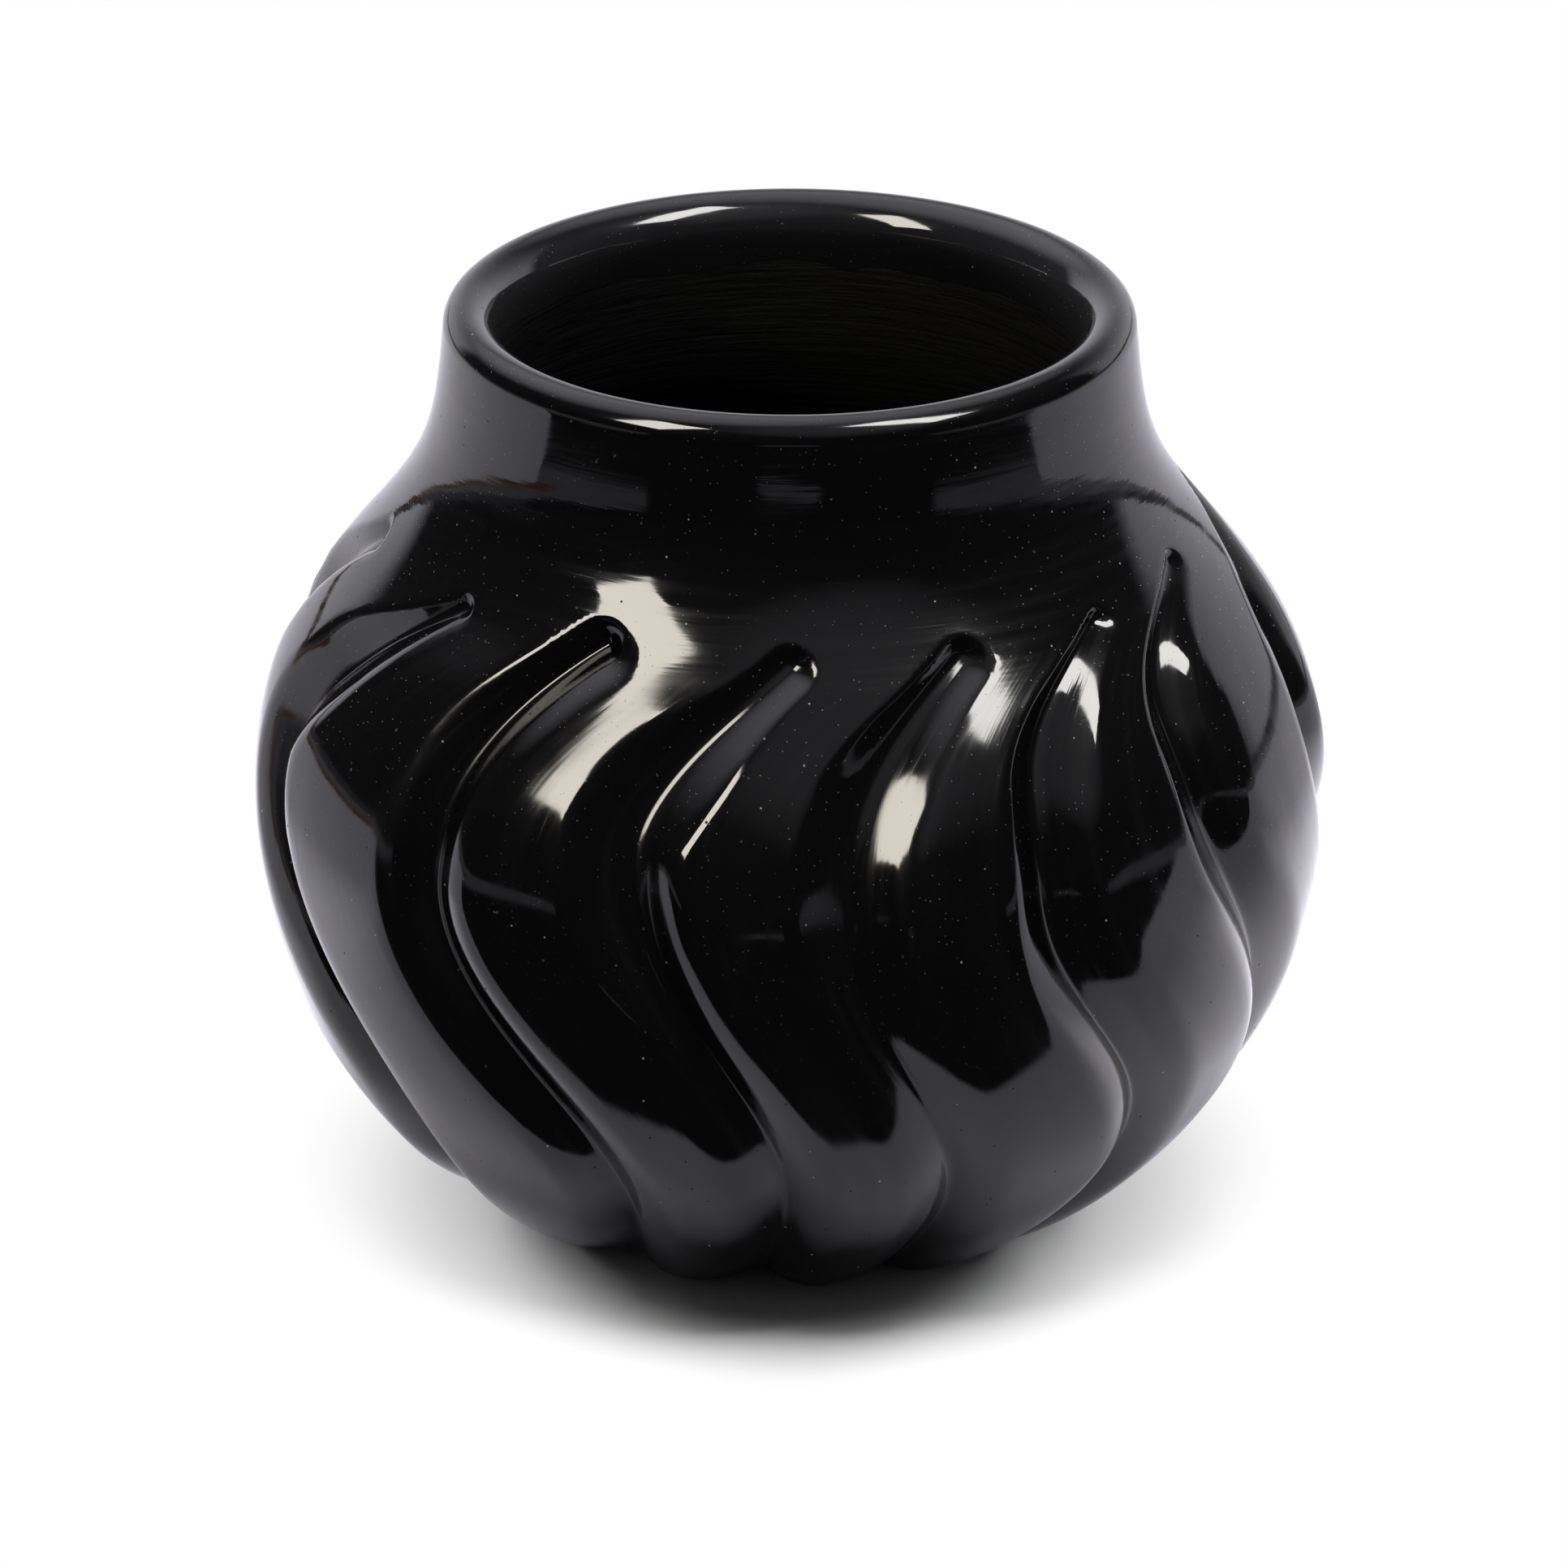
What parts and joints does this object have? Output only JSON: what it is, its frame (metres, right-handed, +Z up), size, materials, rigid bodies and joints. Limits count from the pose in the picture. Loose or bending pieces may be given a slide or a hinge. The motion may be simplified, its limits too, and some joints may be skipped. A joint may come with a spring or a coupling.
{
  "type": "carved blackware jar",
  "caption": "Round hand-coiled pottery jar with a wide open mouth, a short neck and swirling carved flutes, burnished glossy black.",
  "frame": {"origin": "centre of the flat resting face under the jar", "axes": "+Z up through the mouth, -Y towards the viewer's side of the picture"},
  "size_m": [0.1151, 0.1151, 0.1007],
  "materials": {
    "burnished_slip": "stone-burnished black slip, glossy, not glazed"
  },
  "bodies": {
    "root": {"base_pat": "burnished_slip", "wall_coil_1": "burnished_slip", "wall_coil_2": "burnished_slip", "wall_coil_3": "burnished_slip", "wall_coil_4": "burnished_slip", "wall_coil_5": "burnished_slip", "wall_coil_6": "burnished_slip", "neck_coil": "burnished_slip", "rim_coil": "burnished_slip"}
  },
  "joints": []
}
